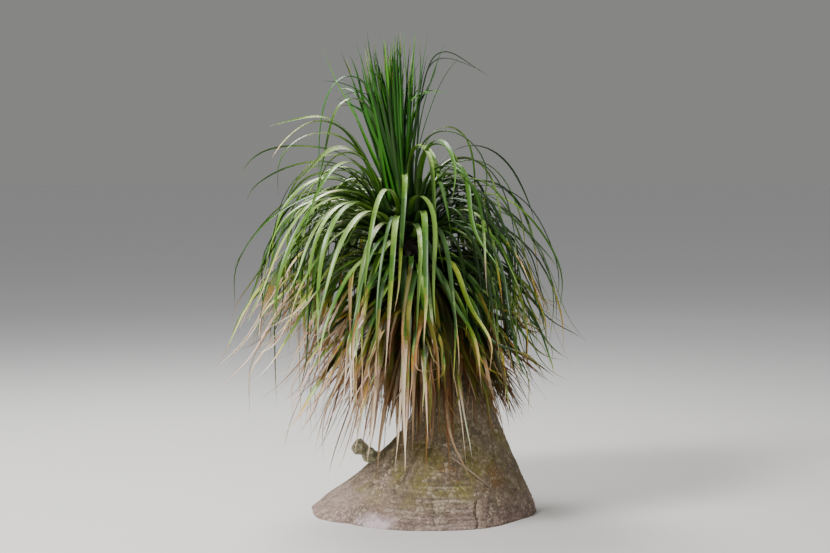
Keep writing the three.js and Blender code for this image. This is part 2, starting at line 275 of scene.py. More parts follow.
# The leaves' plain colours as they look, from 0 to 255, each with its roughness. Those that no leaf below
# starts in or dries to lie in between, for a leaf to pass through.
PALETTE = {
    "green_deep": (20, 38, 11, 0.5),
    "green_dark": (34, 60, 17, 0.46),
    "green_leaf": (48, 79, 22, 0.42),
    "green_mid": (64, 99, 29, 0.4),
    "green_bright": (77, 110, 36, 0.38),
    "green_fresh": (90, 121, 48, 0.36),
    "green_lively": (106, 135, 62, 0.36),
    "green_light": (122, 149, 80, 0.34),
    "green_silver": (138, 162, 96, 0.34),
    # The next four greens are mostly painted highlights, for where the leaves bend over.
    "green_pale": (152, 176, 112, 0.33),
    "green_hoar": (172, 191, 134, 0.33),
    "green_frost": (192, 206, 158, 0.33),
    "green_white": (218, 226, 196, 0.34),
    "grey_green_dark": (40, 60, 29, 0.46),
    "grey_green": (62, 88, 46, 0.42),
    "grey_green_mid": (82, 108, 62, 0.41),
    "grey_green_pale": (100, 122, 76, 0.4),
    "spear_deep": (22, 56, 6, 0.5),
    "spear_mid": (38, 88, 10, 0.5),
    "spear_light": (72, 126, 24, 0.46),
    "lime": (98, 120, 32, 0.44),
    "lime_light": (118, 134, 45, 0.45),
    "yellow_green": (138, 148, 58, 0.46),
    "yellow_green_soft": (156, 164, 81, 0.47),
    "yellow_green_pale": (174, 180, 104, 0.48),
    "green_tan": (150, 148, 92, 0.54),
    "green_straw": (162, 164, 98, 0.5),
    "olive_dark": (52, 48, 10, 0.54),
    "olive_mid": (68, 64, 14, 0.53),
    "olive": (84, 80, 18, 0.52),
    "olive_warm": (99, 95, 31, 0.52),
    "olive_brown": (70, 56, 20, 0.56),
    "olive_amber": (96, 76, 26, 0.55),
    "olive_light": (114, 110, 44, 0.52),
    "olive_pale": (134, 130, 68, 0.53),
    "gold_green": (159, 145, 46, 0.5),
    "gold": (180, 142, 34, 0.52),
    "amber_dark": (92, 60, 22, 0.6),
    "amber_mid": (112, 80, 38, 0.58),
    "amber": (136, 98, 46, 0.56),
    "amber_soft": (160, 114, 56, 0.58),
    "amber_light": (184, 134, 72, 0.6),
    "rust": (108, 68, 34, 0.62),
    "brown": (80, 56, 32, 0.74),
    "brown_light": (104, 78, 50, 0.74),
    "brown_soft": (114, 90, 63, 0.74),
    "brown_pale": (124, 102, 76, 0.74),
    "grey_tan": (140, 122, 104, 0.72),
    "tan": (166, 134, 100, 0.68),
    "tan_soft": (177, 147, 114, 0.68),
    "tan_pale": (188, 160, 128, 0.68),
    "yellow_straw": (204, 178, 110, 0.64),
    "pink_straw": (206, 172, 156, 0.66),
    "straw_gold": (209, 185, 135, 0.65),
    "straw": (214, 192, 160, 0.66),
    "straw_light": (224, 206, 180, 0.66),
    "pale_straw": (236, 222, 204, 0.64),
}
# How many times as vivid as listed a leaf's colour is made, and how much it shines.
VIVID = 1.1
SHEEN = 0.36
PALETTE_NAMES = list(PALETTE)
# Kinds of colour that only the leaves that begin in them show.
KEPT_APART = ("grey_green", "spear")
PALETTE_COLOURS = np.array([row[:3] for row in PALETTE.values()], dtype=float)
# The paler tone that each green takes where the leaf bends over: a painted highlight, the shine of light on
# the bend.
PAINTED_SHINE = {
    "green_dark": "green_fresh",
    "green_leaf": "green_light",
    "green_mid": "green_pale",
    "green_fresh": "green_frost",
    "green_light": "green_white",
    "grey_green": "grey_green_pale",
    "grey_green_dark": "grey_green",
    "lime": "yellow_green",
}
# What a leaf of each tier may look like: its greens, where along it the dry part starts, and how it dries.
TIER_LOOKS = {
    "dead_leaves": (
        ("olive_dark", "olive_dark", "brown", "amber_dark"),
        (0.1, 0.8),
        ("amber", "amber", "dusty"),
    ),
    "lower_leaves": (
        ("olive_dark", "green_dark", "green_deep", "olive", "olive_dark", "green_leaf", "lime"),
        (0.3, 0.9),
        ("amber", "amber", "golden"),
    ),
    "middle_leaves": (
        ("green_mid", "green_leaf", "lime", "green_fresh", "green_dark"),
        (0.55, 1.0),
        ("golden", "clean", "amber"),
    ),
    "upper_leaves": (
        ("green_mid", "green_fresh", "green_dark", "green_leaf", "green_light"),
        (0.7, 1.2),
        ("clean", "clean", "golden"),
    ),
    "young_leaves": (
        ("green_mid", "green_leaf", "green_light", "green_fresh"),
        (0.85, 1.25),
        ("clean", "clean", "sandy"),
    ),
    "spear_leaves": (
        ("spear_deep", "spear_mid", "spear_mid", "spear_light"),
        (0.98, 1.4),
        ("clean",),
    ),
}
# How the leaves that point left, into the light, dry in place of the ways that their tier lists.
LEFT_HABITS = {
    "dead_leaves": ("clean", "clean", "dusty"),
    "lower_leaves": ("clean", "clean", "golden"),
    "middle_leaves": ("clean", "clean", "golden"),
}
# The greens of ageing leaves over the front, which the leaves above them shade.
SHADED_GREENS = {
    "lower_leaves": ("green_dark", "olive_dark", "green_dark", "olive"),
    "middle_leaves": ("green_dark", "green_leaf", "green_dark", "green_mid", "lime"),
}
# The X or Y of a leaf's direction below which it counts as pointing left or as hanging over the front.
LEFTWARD = -0.45
FRONTWARD = -0.7
# How much less of its length is dry on a leaf that points right, and how much more on one that points left.
DRY_BY_SIDE = 0.18
DRY_BY_SIDE_UNTIL = 0.6
# Leaves of these tiers that point right, away from the key light, are grey-green now and then: painted
# shade.
SHADE_GREYED = ("middle_leaves", "upper_leaves", "young_leaves")
SHADE_GREYED_SHARE = 0.6
# Where along a leaf its own green is reached after the painted shade at its root, how far its painted
# highlight goes on from the bend, how much a leaf's stages of drying stretch or shrink, and how far before
# the first of them its green ends.
GREEN_FROM = (0.12, 0.28)
PAINTED_SHINE_REACH = (0.09, 0.18)
STRETCH = (0.6, 1.5)
BEFORE_DRYING = 0.14
# How dark or light one whole leaf is beside its stops, how wide it is, and how sharply it is folded.
SHADES = (0.82, 1.1)
WIDTHS = (0.75, 1.2)
FOLDING = (0.22, 0.5)
# The stages of drying round the front, each as (distance along the leaf, colours to choose from).
DRYING = {
    "clean": (
        (-0.05, ("lime", "yellow_green", "green_pale")),
        (0.03, ("straw", "pink_straw", "yellow_straw")),
        (0.16, ("straw_light", "pale_straw", "pink_straw")),
    ),
    "pale": (
        (-0.05, ("lime", "yellow_green", "green_pale")),
        (0.03, ("pink_straw", "straw_light")),
        (0.14, ("pale_straw",)),
    ),
    "lying": (
        (0.0, ("green_tan",)),
        (1.2, ("grey_tan",)),
    ),
    "golden": (
        (-0.14, ("lime", "yellow_green")),
        (-0.02, ("gold", "yellow_straw")),
        (0.08, ("tan", "yellow_straw")),
        (0.2, ("straw", "grey_tan", "pink_straw")),
    ),
    "sandy": (
        (-0.14, ("lime", "yellow_green")),
        (-0.02, ("yellow_green_pale", "green_straw")),
        (0.08, ("yellow_straw", "straw")),
        (0.2, ("straw", "straw_light", "pink_straw")),
    ),
    "amber": (
        (-0.16, ("olive", "olive_light")),
        (-0.03, ("olive", "amber_dark", "olive")),
        (0.14, ("amber_mid", "amber_dark", "amber", "brown")),
        (0.45, ("brown_pale", "tan", "brown_light", "amber_mid")),
    ),
    "dusty": (
        (-0.1, ("brown", "olive_dark", "olive")),
        (0.12, ("brown_light", "amber_mid", "amber_mid")),
        (0.45, ("grey_tan", "pink_straw", "amber_soft")),
    ),
}


def srgb(red, green, blue):
    """A colour given as it looks, from 0 to 255, as Blender's linear and opaque one."""
    parts = (red / 255, green / 255, blue / 255)
    return *(((part + 0.055) / 1.055) ** 2.4 if part > 0.04 else part / 12.92 for part in parts), 1


def seeded(seed):
    """Seeded numbers from 0 to 1: the generator that the solids use, step for step."""
    mask = 0xFFFFFFFF
    state = seed & mask

    def draw():
        nonlocal state
        state = (state + 0x6D2B79F5) & mask
        mixed = ((state ^ (state >> 15)) * (1 | state)) & mask
        mixed = ((mixed + (mixed ^ (mixed >> 7)) * (61 | mixed)) & mask) ^ mixed
        return (mixed ^ (mixed >> 14)) / 4294967296

    return draw


def row_at(table, value):
    """A row of a table whose first column rises, smoothly blended at a value of that column."""
    last = len(table) - 1
    i = 0
    while i < last - 1 and value > table[i + 1][0]:
        i += 1
    before, start, end, after = (np.array(table[min(max(i + k, 0), last)]) for k in (-1, 0, 1, 2))
    span = end[0] - start[0]
    t = min(max((value - start[0]) / span, 0), 1)
    slope_in = (end - before) / (end[0] - before[0]) * span
    slope_out = (after - start) / (after[0] - start[0]) * span
    from_start = (2 * t**3 - 3 * t**2 + 1) * start + (t**3 - 2 * t**2 + t) * slope_in
    return from_start + (3 * t**2 - 2 * t**3) * end + (t**3 - t**2) * slope_out


PROFILE_HEIGHTS = np.linspace(0, TRUNK_HEIGHT, 300)
PROFILE = np.array([row_at(TRUNK_STATIONS, height) for height in PROFILE_HEIGHTS])


def trunk_at(height):
    """The trunk's radius, and its middle along X and Y, at a height or an array of them."""
    return tuple(np.interp(height, PROFILE_HEIGHTS, PROFILE[:, column]) for column in (1, 2, 3))


def smoothstep(value, low, high):
    t = np.clip((value - low) / (high - low), 0, 1)
    return t * t * (3 - 2 * t)


def unit(rows):
    return rows / np.linalg.norm(rows, axis=1)[:, None]


def read_at(share, places, rows):
    """Each column of rows of values that stand at places, read at each share."""
    return np.stack([np.interp(share, places, column) for column in rows.T], axis=1)


def root_height(age):
    return LOWEST_LEAF + (HIGHEST_LEAF - LOWEST_LEAF) * age


def lean_at(age):
    """How much of the head's lean a leaf of this age follows."""
    return OLDEST_LEAN + (1 - OLDEST_LEAN) * float(smoothstep(age, 0.62, 1))


def make_groups():
    """The groups of leaves, as the solids have them: each a tier's share of the trunk's turn."""
    groups = []
    start_age = 0
    for tier, (name, end_age, count, fine) in enumerate(TIERS):
        for i in range(count):
            start = math.tau * (i + TIER_TURN * tier) / count
            groups.append(
                {
                    "node": f"{name}_{i + 1:02d}" if count > 1 else name,
                    "tier": name,
                    "start_age": start_age,
                    "start": start,
                    "end": start + math.tau / count,
                    "low": root_height(start_age) - BASE_BELOW,
                    "high": root_height(end_age) - BASE_BELOW - CLEARANCE,
                    "upright": count == 1,
                    "fine": fine,
                    "leaves": [],
                }
            )
        start_age = end_age
    return groups


def group_for(groups, age, turn):
    """The group that a leaf belongs to, by its age and by the turn of its root."""
    tier = next(name for name, end_age, _, _ in TIERS if age < end_age)
    for group in groups:
        past_start = (turn - group["start"]) % math.tau
        if group["tier"] == tier and past_start <= group["end"] - group["start"] + 1e-9:
            return group
    raise ValueError("a leaf has no group")


# What a leaf has unless it is told otherwise: no sway, twist or curl, the usual width and a flared base.
UNBENT = {"sway": 0, "twist": 0, "curl": 0, "curl_turn": 0, "wave": 0, "kink": 0, "kink_at": 0.6}
UNBENT |= {"scale": 1.0, "flare": 2.0}
# The leaf that lies on the foot is dry from end to end.
FALLEN_LOOK = {"age": 0, "turn": 0, "bend": 0.5, "dry_from": -0.3, "habit": "lying"}
FALLEN_LOOK |= {"scale": 0.65, "flare": 0}


def grow_leaf(group, index, attempt):
    """One leaf of the spiral, with its own small differences. Each new try lifts it a little further out."""
    age = index / (LEAF_COUNT - 1)
    around = index * GOLDEN_ANGLE
    draw = seeded(SEED + 100 * index + attempt)

    def spread(name):
        return (2 * draw() - 1) * SPREADS[name]

    _, launch, hang, bend, length = row_at(SPEAR_AGES if group["upright"] else LEAF_AGES, age)
    centre = (group["start"] + group["end"]) / 2
    past = math.remainder(around - centre, math.tau)
    upright = group["upright"]
    root_turn = around if upright else centre + past * ROOT_PULL
    if upright:
        height = TRUNK_HEIGHT + 0.024
        reach = HEART_RADIUS * 0.82 * math.sqrt((1 - age) / (1 - group["start_age"]))
    else:
        height = min(max(root_height(age) + spread("height"), group["low"] + 0.015), group["high"] - 0.03)
        reach = trunk_at(height)[0] + 0.011
    lift = math.radians(LIFT_PER_TRY) * attempt * (1 - age)
    return UNBENT | {
        "age": age,
        "height": height,
        "reach": reach,
        "root_turn": root_turn,
        "launch": math.radians(launch + spread("launch")) + 1.6 * lift,
        "hang": math.radians(hang + spread("hang")) + lift,
        "bend": bend * (1 + spread("bend")),
        "bend_width": BEND_WIDTH * (1 + spread("bend_width")),
        "length": length * (1 + spread("length")),
        "turn": around if upright else centre + past * LINE_PULL + spread("turn"),
        "sway": spread("sway"),
        "twist": spread("twist"),
        "lean": lean_at(age),
    }


def longer_side(leaf):
    """The row of the side where this leaf hangs if some are longer there, or None."""
    for row in LONGER_SIDES:
        off = math.remainder(leaf["turn"] - math.radians(row[0]), math.tau)
        if abs(off) < math.radians(row[1]) and row[2] < leaf["age"] < row[3]:
            return row
    return None


def vary(leaf, rng, upright):
    """A finer leaf beside another: the same growth, a little off in every way, and here and there longer."""
    near = dict(leaf)
    amount = 0.5 if upright else 1.0
    off = rng.normal(0, 0.3 if upright else STRAYS["around"])
    near["height"] = leaf["height"] + rng.uniform(-STRAYS["height"], STRAYS["height"]) * amount
    near["reach"] = leaf["reach"] * (rng.uniform(0.2, 0.8) if upright else rng.uniform(0.85, 1.0))
    near["root_turn"] = leaf["root_turn"] + off
    near["turn"] = leaf["turn"] + off + rng.normal(0, STRAYS["turn"])
    near["launch"] = leaf["launch"] + math.radians(rng.normal(0, STRAYS["launch"])) * amount
    near["hang"] = leaf["hang"] + math.radians(rng.normal(0, STRAYS["hang"])) * amount
    near["bend"] = leaf["bend"] * rng.uniform(0.7, 1.25)
    near["bend_width"] = leaf["bend_width"] * rng.uniform(0.4, 1.3)
    near["length"] = leaf["length"] * rng.uniform(0.8 if upright or leaf["age"] < 0.13 else 0.68, 1.04)
    side_row = longer_side(leaf)
    if side_row and rng.random() < side_row[4]:
        near["length"] = leaf["length"] * rng.uniform(*side_row[5:])
        near["hang"] -= math.radians(rng.uniform(0, LONGER_HANG))
        near["scale"] = LONGER_SCALE
    elif SPLAYED[0] < leaf["age"] < SPLAYED[1]:
        near["hang"] += math.radians(rng.uniform(0, SPLAY))
    if upright and rng.random() < BENT_SPEARS:
        near["hang"] = math.radians(rng.uniform(-70, 10))
        near["bend"] = 0.82
    near["sway"] = leaf["sway"] + rng.normal(0, STRAYS["sway"]) * amount
    near["twist"] = rng.normal(0, STRAYS["twist"])
    return with_tip(near, rng, upright)


def with_tip(leaf, rng, upright):
    """The same leaf with a dry tip that curls and wanders, and now and then a kink half way."""
    if upright or leaf["age"] < MESSY[0]:
        amount = 0.4
    elif MESSY[0] < leaf["age"] < MESSY[1]:
        amount = 1.5
    else:
        amount = 1.0
    leaf["curl"] = rng.normal(0.1, 0.35) * amount
    leaf["curl_turn"] = rng.normal(0, 0.5) * amount
    leaf["wave"] = rng.normal(0, 0.22) * amount
    if rng.random() < KINKED and leaf["age"] < 0.7:
        leaf["kink"] = math.radians(rng.uniform(*KINK))
        leaf["kink_at"] = rng.uniform(*KINK_PLACE)
    return leaf


def leaf_line(leaf):
    """The points that a leaf follows, and the turn that it faces at each."""
    share = (np.arange(LINE_SLICES) + 0.5) / LINE_SLICES
    bent = 1 / (1 + np.exp(-(share - leaf["bend"]) / (leaf["bend_width"] / 2.2)))
    angle = leaf["launch"] + (leaf["hang"] - leaf["launch"]) * bent
    dry = smoothstep(share, 0.72, 1.0)
    folded = smoothstep(share, leaf["kink_at"] - 0.02, leaf["kink_at"] + 0.02)
    wave = leaf["wave"] * np.sin(9 * share + 40 * leaf["sway"]) * share
    angle = np.maximum(angle + leaf["curl"] * dry + leaf["kink"] * folded + wave, math.radians(STEEPEST))
    opened = smoothstep(share, 0, 0.3)
    turn = leaf["root_turn"] + (leaf["turn"] - leaf["root_turn"]) * opened
    turn = turn + leaf["sway"] * share + leaf["curl_turn"] * dry + 0.7 * wave
    step = np.stack((np.cos(angle) * np.cos(turn), np.cos(angle) * np.sin(turn), np.sin(angle)), axis=1)
    step += HEAD_LEAN * (leaf["lean"] * (1 - 0.6 * share))[:, None]
    step *= leaf["length"] / LINE_SLICES / np.linalg.norm(step, axis=1)[:, None]
    _, middle_x, middle_y = trunk_at(min(leaf["height"], TRUNK_HEIGHT))
    root_x = math.cos(leaf["root_turn"]) * leaf["reach"] + middle_x
    root_y = math.sin(leaf["root_turn"]) * leaf["reach"] + middle_y
    root = np.array((root_x, root_y, leaf["height"]))
    points = np.vstack((root, root + np.cumsum(step, axis=0)))
    return points, np.concatenate((turn[:1], turn))


def clears_trunk(points, root_z):
    """True if a leaf that hangs past the trunk and the foot keeps a little air from them."""
    hanging = points[points[:, 2] < root_z - 0.06]
    radius, middle_x, middle_y = trunk_at(hanging[:, 2])
    away = np.hypot(hanging[:, 0] - middle_x, hanging[:, 1] - middle_y)
    return bool(np.all(away > radius * TRUNK_AIR + FOOT_AIR) and points[:, 2].min() > GROUND_AIR)


def placed_leaf(group, index):
    """The leaf of the spiral on the first try that clears the trunk, or None."""
    for attempt in range(TRIES):
        leaf = grow_leaf(group, index, attempt)
        points, _ = leaf_line(leaf)
        if group["upright"] or clears_trunk(points, leaf["height"]):
            return leaf
    return None


def fitted(leaf, upright):
    """The same leaf, lifted until it clears the trunk and shortened to stay within the crown, or None."""
    for _ in range(TRIES):
        points, _ = leaf_line(leaf)
        if np.any(points < CROWN_LOW) or np.any(points > CROWN_HIGH):
            leaf["length"] *= 0.95
            leaf["curl"] *= 0.7
        elif upright or clears_trunk(points, leaf["height"]):
            return leaf
        else:
            leaf["launch"] += math.radians(4)
            leaf["hang"] += math.radians(2.5)
            leaf["kink"] *= 0.6
    return None


def look_of(leaf, tier):
    """The greens of a leaf, the shares between which it starts to dry, and the ways that it may dry."""
    greens, dry_between, habits = TIER_LOOKS[tier]
    if tier in LEFT_HABITS and math.cos(leaf["turn"]) < LEFTWARD:
        habits = LEFT_HABITS[tier]
    elif tier in SHADED_GREENS and math.sin(leaf["turn"]) < FRONTWARD:
        greens = SHADED_GREENS[tier]
        habits = ("amber", "amber", "golden")
    if "habit" in leaf:
        habits = (leaf["habit"],)
    return greens, dry_between, habits


def colour_stops(leaf, group, rng):
    """Where a leaf starts to dry, and its colours as (share, name): painted shade at the root, painted
    highlight at the bend.
    """

    def any_of(names):
        return names[rng.integers(len(names))]

    greens, dry_between, habits = look_of(leaf, group["tier"])
    to_right = math.cos(leaf["turn"])
    front = rng.uniform(*dry_between) + DRY_BY_SIDE * to_right * (leaf["age"] < DRY_BY_SIDE_UNTIL)
    stretch = rng.uniform(*STRETCH)
    green = any_of(greens)
    # Painted shade: leaves that point right, away from the key light, turn grey-green.
    if group["tier"] in SHADE_GREYED and rng.random() < SHADE_GREYED_SHARE * to_right:
        green = any_of(("grey_green", "grey_green_dark"))
    front = leaf.get("dry_from", front)
    # The root of a leaf whose green has a paler tone is green_deep: painted shade for the crown's dark
    # heart.
    stops = [(0.0, "green_deep" if green in PAINTED_SHINE else green), (rng.uniform(*GREEN_FROM), green)]
    # A painted highlight round the bend, more often on leaves that point left, towards the key light.
    if green in PAINTED_SHINE and rng.random() < 0.7 - 0.3 * to_right:
        middle = leaf["bend"] + rng.uniform(0.0, 0.08)
        reach = rng.uniform(*PAINTED_SHINE_REACH)
        stops += [(middle - reach, green), (middle, PAINTED_SHINE[green]), (middle + 1.3 * reach, green)]
        stops.sort()
    drying = [(front + start * stretch, any_of(names)) for start, names in DRYING[any_of(habits)]]
    start = drying[0][0] - BEFORE_DRYING
    return front, [stop for stop in stops if stop[0] < start] + [(start, green)] + drying


def leaf_colours(stops, shade, share):
    """The palette number at each share of a leaf: the plain colour nearest to the blend of its stops."""
    places = [place for place, _ in stops]
    stop_colours = np.array([PALETTE[name][:3] for _, name in stops], dtype=float)
    blend = read_at(share, places, stop_colours)
    gaps = np.linalg.norm(blend[:, None] * shade - PALETTE_COLOURS[None], axis=2)
    for kind in KEPT_APART:
        if not any(name.startswith(kind) for _, name in stops):
            gaps[:, [name.startswith(kind) for name in PALETTE_NAMES]] = np.inf
    return np.argmin(gaps, axis=1)


def fallen_leaf_line():
    """The points of the leaf that lies on the foot, and the turn that it faces at each."""
    (start_x, start_z), (end_x, end_z) = FALLEN_LEAF
    share = np.linspace(0, 1, LINE_SLICES + 1)
    x = start_x + (end_x - start_x) * share
    z = start_z + (end_z - start_z) * share + 0.01 * np.sin(math.pi * share)
    radius, middle_x, middle_y = trunk_at(z)
    radius = radius * (1 + foot_swell(-np.arccos((x - middle_x) / radius), z)) + FALLEN_LEAF_OFF
    y = middle_y - np.sqrt(radius**2 - (x - middle_x) ** 2)
    return np.stack((x, y, z), axis=1), np.full_like(x, THIN_TURN)


def strap(line, turns, leaf, group, rng):
    """A leaf along a line as (vertices, palette numbers): channelled, with a keel, drawn to a point.

    Each step has two palette numbers, one for either half, because a leaf seldom dries evenly across.
    """
    along_line = np.linspace(0, 1, len(line))
    front, stops = colour_stops(leaf, group, rng)
    bending = 2.4 * np.exp(-(((along_line - leaf["bend"]) / 0.16) ** 2))
    drying = 3.0 * np.exp(-(((along_line - front) / 0.1) ** 2))
    density = 1 + bending + drying + 0.8 * smoothstep(along_line, 0.7, 1)
    spent = np.concatenate(((0,), np.cumsum((density[1:] + density[:-1]) / 2)))
    share = np.interp(np.linspace(0, 1, FINE_STEPS + 1), spent / spent[-1], along_line)

    points = read_at(share, along_line, line)
    along = unit(read_at(share, along_line, np.gradient(line, axis=0)))
    turn = np.interp(share, along_line, turns)
    side = np.stack((-np.sin(turn), np.cos(turn), np.zeros_like(turn)), axis=1)
    side = unit(side - along * np.sum(side * along, axis=1)[:, None])
    over = np.cross(along, side)
    twist = (leaf["twist"] * share**1.4)[:, None]
    side, over = side * np.cos(twist) + over * np.sin(twist), over * np.cos(twist) - side * np.sin(twist)

    shade = rng.uniform(*SHADES)
    middles = (share[1:] + share[:-1]) / 2
    halves = [leaf_colours(stops, shade, middles + shift) for shift in (0, rng.normal(0, UNEVEN_DRYING))]
    narrow = 0.7 if group["upright"] else 1.0
    shrivelled = 1 - DRY_SHRINK * smoothstep(share, front - 0.02, front + 0.16)
    base = 1 + leaf["flare"] * (1 - smoothstep(share, 0, 0.08))
    taper = np.clip(1 - share ** (3.4 if group["upright"] else 2.3 + leaf["age"]), 0.03, 1)
    width = FINE_HALF_WIDTH * rng.uniform(*WIDTHS) * leaf["scale"] * narrow * base * taper * shrivelled
    fold = rng.uniform(*FOLDING) + 0.5 * smoothstep(share, 0.6, 1.0) * rng.random()
    rise = (width * fold)[:, None] * over
    reach = (width * np.sqrt(np.clip(1 - fold**2, 0.2, 1)))[:, None] * side
    keel = (FINE_THICKNESS * np.clip(taper, 0.3, 1))[:, None] * over
    rings = np.stack((points + reach + rise, points, points - reach + rise, points - keel), axis=1)
    return rings.reshape(-1, 3), np.stack(halves, axis=1).ravel()


def strap_faces(count):
    """The faces of that many straps whose vertices follow on each other, and each face's palette place."""
    faces = np.array(tube_faces(FINE_STEPS + 1, 4))
    halves = 2 * np.repeat(np.arange(FINE_STEPS), 4) + np.tile((0, 1, 1, 0), FINE_STEPS)
    places = np.concatenate((halves, (0, 2 * FINE_STEPS - 1)))
    starts = np.arange(count)[:, None, None] * (FINE_STEPS + 1) * 4
    return (faces[None] + starts).reshape(-1, 4).tolist(), places


def add_object(name, data):
    made = bpy.data.objects.new(name, data)
    bpy.context.scene.collection.objects.link(made)
    return made


def mesh_object(name, vertices, faces, materials, numbers=()):
    """An object from an array of vertices and a list of faces, smooth all over."""
    mesh = bpy.data.meshes.new(name)
    mesh.from_pydata(vertices.tolist(), (), faces)
    for material in materials:
        mesh.materials.append(material)
    if len(numbers):
        mesh.polygons.foreach_set("material_index", numbers.astype(np.int32))
    mesh.shade_smooth()
    return add_object(name, mesh)


def sharpen_leaf_rims(made):
    """Marks the two long rims of each strap sharp, so that its top and its underside shade apart."""
    mesh = made.data
    ends = np.empty(len(mesh.edges) * 2, dtype=np.int32)
    mesh.edges.foreach_get("vertices", ends)
    corners = ends.reshape(-1, 2) % 4
    rim = (corners[:, 0] == corners[:, 1]) & (corners[:, 0] % 2 == 0)
    mesh.attributes.new("sharp_edge", "BOOLEAN", "EDGE").data.foreach_set("value", rim)


def new_material(name):
    """A material with its nodes and its shader."""
    material = bpy.data.materials.new(name)
    material.use_nodes = True
    return material, material.node_tree, material.node_tree.nodes["Principled BSDF"]


def leaf_material(name):
    """A plain colour of the palette, a little more vivid than listed because light all round greys it."""
    *colour, roughness = PALETTE[name]
    grey = sum(colour) / 3
    vivid = [min(max(grey + (part - grey) * VIVID, 2), 250) for part in colour]
    material, _, shader = new_material("leaf_" + name)
    shader.inputs["Base Color"].default_value = srgb(*vivid)
    shader.inputs["Roughness"].default_value = roughness
    shader.inputs["Specular IOR Level"].default_value = SHEEN
    return material


def single_leaves():
    """The leaves that the eye picks out, each grown like the others but from its own row of values."""
    leaves = []
    for right, root_right, height, launch, hang, bend, length, dry_from, scale in SINGLE_LEAVES:
        age = (height - LOWEST_LEAF) / (HIGHEST_LEAF - LOWEST_LEAF)
        leaf = {
            "age": age,
            "lean": lean_at(age),
            "height": height,
            "reach": trunk_at(height)[0],
            "root_turn": THIN_TURN + math.radians(root_right),
            "turn": THIN_TURN + math.radians(right),
            "launch": math.radians(launch),
            "hang": math.radians(hang),
            "bend": bend,
            "bend_width": SINGLE_BEND_WIDTH * (1.1 - bend),
            "length": length,
            "dry_from": dry_from,
            "habit": "pale",
            "scale": scale,
        }
        leaves.append(UNBENT | leaf)
    return leaves


def make_leaves():
    """Grows every fine leaf and joins those of each group into the piece that replaces the group's solid."""
    materials = [leaf_material(name) for name in PALETTE_NAMES]
    groups = make_groups()
    for number, leaf in enumerate(single_leaves()):
        group = group_for(groups, leaf["age"], leaf["root_turn"])
        rng = np.random.default_rng(50 * SEED + number)
        leaf = with_tip(leaf, rng, True)
        group["leaves"].append(strap(*leaf_line(leaf), leaf, group, rng))
    group = group_for(groups, 0, THIN_TURN)
    rng = np.random.default_rng(60 * SEED)
    group["leaves"].append(strap(*fallen_leaf_line(), UNBENT | FALLEN_LOOK, group, rng))
    for index in range(LEAF_COUNT):
        group = group_for(groups, index / (LEAF_COUNT - 1), index * GOLDEN_ANGLE)
        leaf = placed_leaf(group, index)
        if leaf is None:
            continue
        rng = np.random.default_rng(1000 * SEED + index)
        leaf = fitted(with_tip(leaf, rng, group["upright"]), group["upright"]) or leaf
        group["leaves"].append(strap(*leaf_line(leaf), leaf, group, rng))
        in_front = abs(math.remainder(leaf["turn"] - THIN_TURN, math.tau)) < THIN_REACH
        thinned = THINNED if in_front and leaf["age"] > THIN_FROM and not group["upright"] else 0
        for _ in range(group["fine"] - 1 - thinned):
            finer = fitted(vary(leaf, rng, group["upright"]), group["upright"])
            if finer is not None:
                group["leaves"].append(strap(*leaf_line(finer), finer, group, rng))
    for group in groups:
        vertices = np.vstack([leaf[0] for leaf in group["leaves"]])
        faces, places = strap_faces(len(group["leaves"]))
        numbers = np.concatenate([leaf[1][places] for leaf in group["leaves"]])
        used = np.unique(numbers)
        slots = np.searchsorted(used, numbers)
        made = mesh_object("fine_" + group["node"], vertices, faces, [materials[i] for i in used], slots)
        sharpen_leaf_rims(made)
        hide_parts(group["node"])
        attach(made, "root")


def foot_swell(turn, height):
    """How far the foot's lobes push its radius out, as a share of it."""
    swell = sum(share * np.cos(count * turn + math.radians(shift)) for count, share, shift in FOOT_LOBES)
    return swell * np.exp(-((height / LOBE_FADE_HEIGHT) ** 2))


def bark_relief(x, y, z):
    """How far the bark stands out at a point: swellings, pebbly plates, broken fissures and leaf scars."""
    here = Vector((x, y, z))
    wander = noise.noise(here * 11) * 0.02
    swelling = noise.noise(Vector((x * 4, y * 4, z * 5))) * SWELLING
    lumps = noise.noise(Vector((x * 15, y * 15, z * 19 + 9))) * LUMPS
    near, next_near = noise.voronoi(Vector(((x + wander) * 26, (y + wander) * 26, z * 13)))[0][:2]
    broken = float(smoothstep(noise.noise(here * 8 + Vector((5, 0, 0))), -0.15, 0.3))
    fissures = -FISSURES * max(0.0, 1 - (next_near - near) / 0.16) * broken
    small, next_small = noise.voronoi(Vector(((x + wander) * 58, (y + wander) * 58, z * 44)))[0][:2]
    pebbles = PEBBLES * min((next_small - small) * 2.5, 1)
    folds = math.sin(z * 460 + 8 * noise.noise(here * 4)) * FOLDS
    upper = float(smoothstep(z, 0.36, 0.5))
    scars = -LEAF_SCARS * upper * max(0.0, math.sin(z * 380 + 5 * noise.noise(here * 9)))
    return swelling + lumps + fissures + pebbles + folds + scars


def crack_depth(x, y, z):
    """The one deep upright crack, low on the right of the front."""
    if y > 0 or z > CRACK_TOP:
        return 0.0
    line = CRACK_X + 0.005 * math.sin(z * 70)
    across = math.exp(-(((x - line) / CRACK_HALF_WIDTH) ** 2))
    return CRACK_DEPTH * across * float(smoothstep(CRACK_TOP - z, 0, 0.03))


def toe_relief(x, y, z):
    """How far the toe stands out, and how deep the hollow beside it goes."""
    if y > 0:
        return 0.0
    relief = 0.0
    for middle, half_width, tall, out in (TOE, HOLLOW):
        relief += out * math.exp(-(((x - middle) / half_width) ** 2) - (z / tall) ** 2)
    return relief


